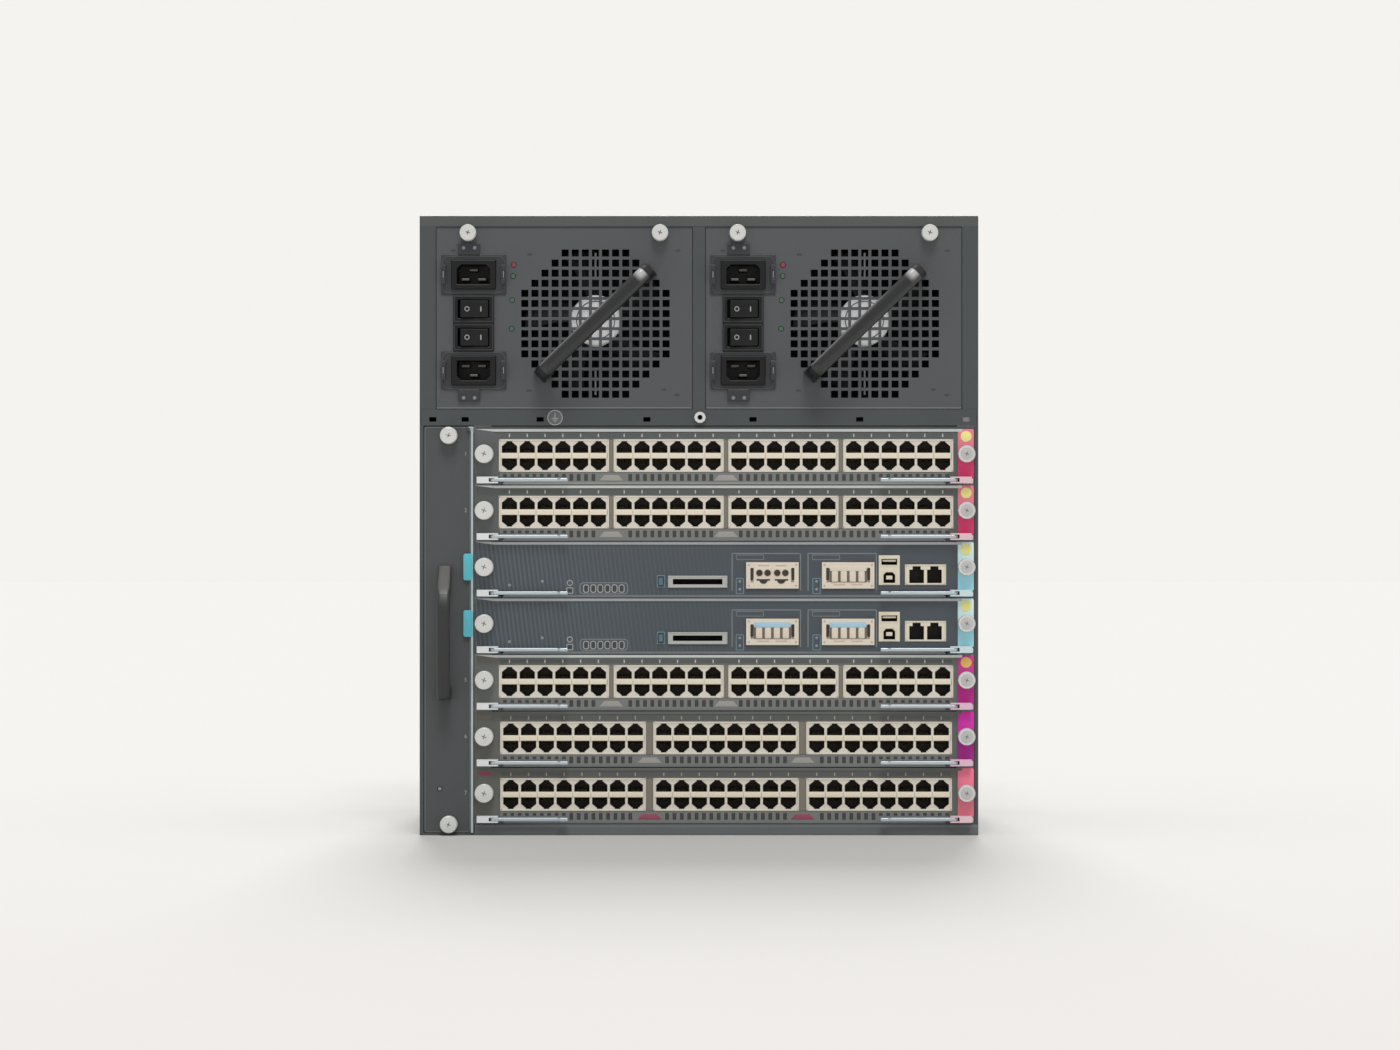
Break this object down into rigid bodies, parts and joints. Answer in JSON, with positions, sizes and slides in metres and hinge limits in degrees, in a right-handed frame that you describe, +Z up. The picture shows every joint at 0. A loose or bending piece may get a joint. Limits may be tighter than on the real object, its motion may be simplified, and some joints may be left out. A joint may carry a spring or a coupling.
{
  "type": "modular chassis switch",
  "caption": "Rack-height network chassis: card cage with line and control cards behind ejector levers, a side fan tray, and power supplies with grilles and diagonal handles above.",
  "frame": {"origin": "middle of the bounding box's footprint, on the surface that the chassis stands on", "axes": "+Z is up, +X is to the right seen from the front, -Y is the front with the sockets; the height is the longest extent and the depth the shortest"},
  "size_m": [0.4398, 0.3496, 0.4874],
  "materials": {
    "board_green": "green circuit board with black headers",
    "button_grey": "dark grey moulded button",
    "card_paint": "satin greenish grey paint on steel, pale upper lip",
    "chassis_paint": "powder-coated steel sheet, dark neutral grey, fine orange peel",
    "control_paint": "satin slate blue-grey paint on steel with fine pale pinstripes",
    "entry_black": "black glass-filled moulding with nickel blades",
    "fan_frame_black": "black moulded fan housing",
    "galvanised": "plain zinc-plated steel sheet, faint spangle",
    "guide_steel": "plain plated steel walls and rails",
    "handle_black": "black moulded grip, satin",
    "jack_nickel": "nickel-plated turned brass",
    "jack_shield": "warm tin-plated shield, dark moulded sockets",
    "lever_silver": "satin silver die casting",
    "module_shell": "bright zinc die casting with dark optical receptacles",
    "retainer_grey": "dark grey painted clip",
    "rocker_black": "black moulded rocker with white marks",
    "rotor_black": "black moulded blades, pale grey hub label",
    "socket_shield": "tin-plated connector shells with black moulded insides",
    "tray_paint": "powder-coated steel sheet, slightly lighter grey, pale worn rim"
  },
  "bodies": {
    "chassis": {"chassis_shell": "chassis_paint", "bay_shelf": "chassis_paint", "bay_divider": "chassis_paint", "rear_panel": "chassis_paint", "backplane": "board_green", "card_guides": "guide_steel", "esd_jack": "jack_nickel"},
    "fan_tray": {"fan_tray_frame": "tray_paint", "fan_tray_handle": "handle_black", "fan_tray_fan_frames": "fan_frame_black"},
    "fan_tray_rotor_1": {"fan_tray_rotor_1": "rotor_black"},
    "fan_tray_rotor_2": {"fan_tray_rotor_2": "rotor_black"},
    "psu_1": {"psu_1_panel": "chassis_paint", "psu_1_case": "galvanised", "psu_1_handle": "handle_black", "psu_1_power_entry": "entry_black", "psu_1_retainers": "retainer_grey"},
    "psu_1_rocker_1": {"psu_1_rocker_1": "rocker_black"},
    "psu_1_rocker_2": {"psu_1_rocker_2": "rocker_black"},
    "psu_1_rotor": {"psu_1_rotor": "rotor_black"},
    "psu_2": {"psu_2_panel": "chassis_paint", "psu_2_case": "galvanised", "psu_2_handle": "handle_black", "psu_2_power_entry": "entry_black", "psu_2_retainers": "retainer_grey"},
    "psu_2_rocker_1": {"psu_2_rocker_1": "rocker_black"},
    "psu_2_rocker_2": {"psu_2_rocker_2": "rocker_black"},
    "psu_2_rotor": {"psu_2_rotor": "rotor_black"},
    "line_card_1": {"line_card_1_carrier": "card_paint", "line_card_1_jacks": "jack_shield"},
    "line_card_1_lever_left": {"line_card_1_lever_left": "lever_silver"},
    "line_card_1_lever_right": {"line_card_1_lever_right": "lever_silver"},
    "line_card_2": {"line_card_2_carrier": "card_paint", "line_card_2_jacks": "jack_shield"},
    "line_card_2_lever_left": {"line_card_2_lever_left": "lever_silver"},
    "line_card_2_lever_right": {"line_card_2_lever_right": "lever_silver"},
    "line_card_5": {"line_card_5_carrier": "card_paint", "line_card_5_jacks": "jack_shield"},
    "line_card_5_lever_left": {"line_card_5_lever_left": "lever_silver"},
    "line_card_5_lever_right": {"line_card_5_lever_right": "lever_silver"},
    "line_card_6": {"line_card_6_carrier": "card_paint", "line_card_6_jacks": "jack_shield"},
    "line_card_6_lever_left": {"line_card_6_lever_left": "lever_silver"},
    "line_card_6_lever_right": {"line_card_6_lever_right": "lever_silver"},
    "line_card_7": {"line_card_7_carrier": "card_paint", "line_card_7_jacks": "jack_shield"},
    "line_card_7_lever_left": {"line_card_7_lever_left": "lever_silver"},
    "line_card_7_lever_right": {"line_card_7_lever_right": "lever_silver"},
    "control_card_3": {"control_card_3_carrier": "control_paint", "control_card_3_connectors": "socket_shield", "control_card_3_transceivers": "module_shell"},
    "control_card_3_eject_button": {"control_card_3_eject_button": "button_grey"},
    "control_card_3_lever_left": {"control_card_3_lever_left": "lever_silver"},
    "control_card_3_lever_right": {"control_card_3_lever_right": "lever_silver"},
    "control_card_4": {"control_card_4_carrier": "control_paint", "control_card_4_connectors": "socket_shield", "control_card_4_transceivers": "module_shell"},
    "control_card_4_eject_button": {"control_card_4_eject_button": "button_grey"},
    "control_card_4_lever_left": {"control_card_4_lever_left": "lever_silver"},
    "control_card_4_lever_right": {"control_card_4_lever_right": "lever_silver"}
  },
  "joints": [
    {"name": "fan_tray_slide", "type": "slide", "parent": "chassis", "child": "fan_tray", "axis": [0, -1, 0], "range_m": [0, 0.27]},
    {"name": "fan_tray_spin_1", "type": "hinge", "parent": "fan_tray", "child": "fan_tray_rotor_1", "pos_m": [-0.19115, 0.003, 0.0862], "axis": [1, 0, 0], "continuous": true},
    {"name": "fan_tray_spin_2", "type": "hinge", "parent": "fan_tray", "child": "fan_tray_rotor_2", "pos_m": [-0.19115, 0.003, 0.2342], "axis": [1, 0, 0], "continuous": true},
    {"name": "psu_1_slide", "type": "slide", "parent": "chassis", "child": "psu_1", "axis": [0, -1, 0], "range_m": [0, 0.27]},
    {"name": "psu_1_rocker_1_rock", "type": "hinge", "parent": "psu_1", "child": "psu_1_rocker_1", "pos_m": [-0.1773, -0.14175, 0.41395], "axis": [0, 0, 1], "range_deg": [-16, 0]},
    {"name": "psu_1_rocker_2_rock", "type": "hinge", "parent": "psu_1", "child": "psu_1_rocker_2", "pos_m": [-0.1773, -0.14175, 0.39165], "axis": [0, 0, 1], "range_deg": [-16, 0]},
    {"name": "psu_1_fan_spin", "type": "hinge", "parent": "psu_1", "child": "psu_1_rotor", "pos_m": [-0.0815, -0.12275, 0.4026], "axis": [0, 1, 0], "continuous": true},
    {"name": "psu_2_slide", "type": "slide", "parent": "chassis", "child": "psu_2", "axis": [0, -1, 0], "range_m": [0, 0.27]},
    {"name": "psu_2_rocker_1_rock", "type": "hinge", "parent": "psu_2", "child": "psu_2_rocker_1", "pos_m": [0.0347, -0.14175, 0.41395], "axis": [0, 0, 1], "range_deg": [-16, 0]},
    {"name": "psu_2_rocker_2_rock", "type": "hinge", "parent": "psu_2", "child": "psu_2_rocker_2", "pos_m": [0.0347, -0.14175, 0.39165], "axis": [0, 0, 1], "range_deg": [-16, 0]},
    {"name": "psu_2_fan_spin", "type": "hinge", "parent": "psu_2", "child": "psu_2_rotor", "pos_m": [0.1305, -0.12275, 0.4026], "axis": [0, 1, 0], "continuous": true},
    {"name": "line_card_1_slide", "type": "slide", "parent": "chassis", "child": "line_card_1", "axis": [0, -1, 0], "range_m": [0, 0.25]},
    {"name": "line_card_1_lever_left_swing", "type": "hinge", "parent": "line_card_1", "child": "line_card_1_lever_left", "pos_m": [-0.16105, -0.14675, 0.2795], "axis": [0, 0, -1], "range_deg": [0, 55]},
    {"name": "line_card_1_lever_right_swing", "type": "hinge", "parent": "line_card_1", "child": "line_card_1_lever_right", "pos_m": [0.20065, -0.14675, 0.2795], "axis": [0, 0, 1], "range_deg": [0, 55]},
    {"name": "line_card_2_slide", "type": "slide", "parent": "chassis", "child": "line_card_2", "axis": [0, -1, 0], "range_m": [0, 0.25]},
    {"name": "line_card_2_lever_left_swing", "type": "hinge", "parent": "line_card_2", "child": "line_card_2_lever_left", "pos_m": [-0.16105, -0.14675, 0.23505], "axis": [0, 0, -1], "range_deg": [0, 55]},
    {"name": "line_card_2_lever_right_swing", "type": "hinge", "parent": "line_card_2", "child": "line_card_2_lever_right", "pos_m": [0.20065, -0.14675, 0.23505], "axis": [0, 0, 1], "range_deg": [0, 55]},
    {"name": "line_card_5_slide", "type": "slide", "parent": "chassis", "child": "line_card_5", "axis": [0, -1, 0], "range_m": [0, 0.25]},
    {"name": "line_card_5_lever_left_swing", "type": "hinge", "parent": "line_card_5", "child": "line_card_5_lever_left", "pos_m": [-0.16105, -0.14675, 0.1017], "axis": [0, 0, -1], "range_deg": [0, 55]},
    {"name": "line_card_5_lever_right_swing", "type": "hinge", "parent": "line_card_5", "child": "line_card_5_lever_right", "pos_m": [0.20065, -0.14675, 0.1017], "axis": [0, 0, 1], "range_deg": [0, 55]},
    {"name": "line_card_6_slide", "type": "slide", "parent": "chassis", "child": "line_card_6", "axis": [0, -1, 0], "range_m": [0, 0.25]},
    {"name": "line_card_6_lever_left_swing", "type": "hinge", "parent": "line_card_6", "child": "line_card_6_lever_left", "pos_m": [-0.16105, -0.14675, 0.05725], "axis": [0, 0, -1], "range_deg": [0, 55]},
    {"name": "line_card_6_lever_right_swing", "type": "hinge", "parent": "line_card_6", "child": "line_card_6_lever_right", "pos_m": [0.20065, -0.14675, 0.05725], "axis": [0, 0, 1], "range_deg": [0, 55]},
    {"name": "line_card_7_slide", "type": "slide", "parent": "chassis", "child": "line_card_7", "axis": [0, -1, 0], "range_m": [0, 0.25]},
    {"name": "line_card_7_lever_left_swing", "type": "hinge", "parent": "line_card_7", "child": "line_card_7_lever_left", "pos_m": [-0.16105, -0.14675, 0.0128], "axis": [0, 0, -1], "range_deg": [0, 55]},
    {"name": "line_card_7_lever_right_swing", "type": "hinge", "parent": "line_card_7", "child": "line_card_7_lever_right", "pos_m": [0.20065, -0.14675, 0.0128], "axis": [0, 0, 1], "range_deg": [0, 55]},
    {"name": "control_card_3_slide", "type": "slide", "parent": "chassis", "child": "control_card_3", "axis": [0, -1, 0], "range_m": [0, 0.25]},
    {"name": "control_card_3_eject_button_press", "type": "slide", "parent": "control_card_3", "child": "control_card_3_eject_button", "axis": [0, 1, 0], "range_m": [0, 0.0025], "stiffness_N_per_m": 300, "springref_m": -0.001},
    {"name": "control_card_3_lever_left_swing", "type": "hinge", "parent": "control_card_3", "child": "control_card_3_lever_left", "pos_m": [-0.16105, -0.14675, 0.1906], "axis": [0, 0, -1], "range_deg": [0, 55]},
    {"name": "control_card_3_lever_right_swing", "type": "hinge", "parent": "control_card_3", "child": "control_card_3_lever_right", "pos_m": [0.20065, -0.14675, 0.1906], "axis": [0, 0, 1], "range_deg": [0, 55]},
    {"name": "control_card_4_slide", "type": "slide", "parent": "chassis", "child": "control_card_4", "axis": [0, -1, 0], "range_m": [0, 0.25]},
    {"name": "control_card_4_eject_button_press", "type": "slide", "parent": "control_card_4", "child": "control_card_4_eject_button", "axis": [0, 1, 0], "range_m": [0, 0.0025], "stiffness_N_per_m": 300, "springref_m": -0.001},
    {"name": "control_card_4_lever_left_swing", "type": "hinge", "parent": "control_card_4", "child": "control_card_4_lever_left", "pos_m": [-0.16105, -0.14675, 0.14615], "axis": [0, 0, -1], "range_deg": [0, 55]},
    {"name": "control_card_4_lever_right_swing", "type": "hinge", "parent": "control_card_4", "child": "control_card_4_lever_right", "pos_m": [0.20065, -0.14675, 0.14615], "axis": [0, 0, 1], "range_deg": [0, 55]}
  ]
}
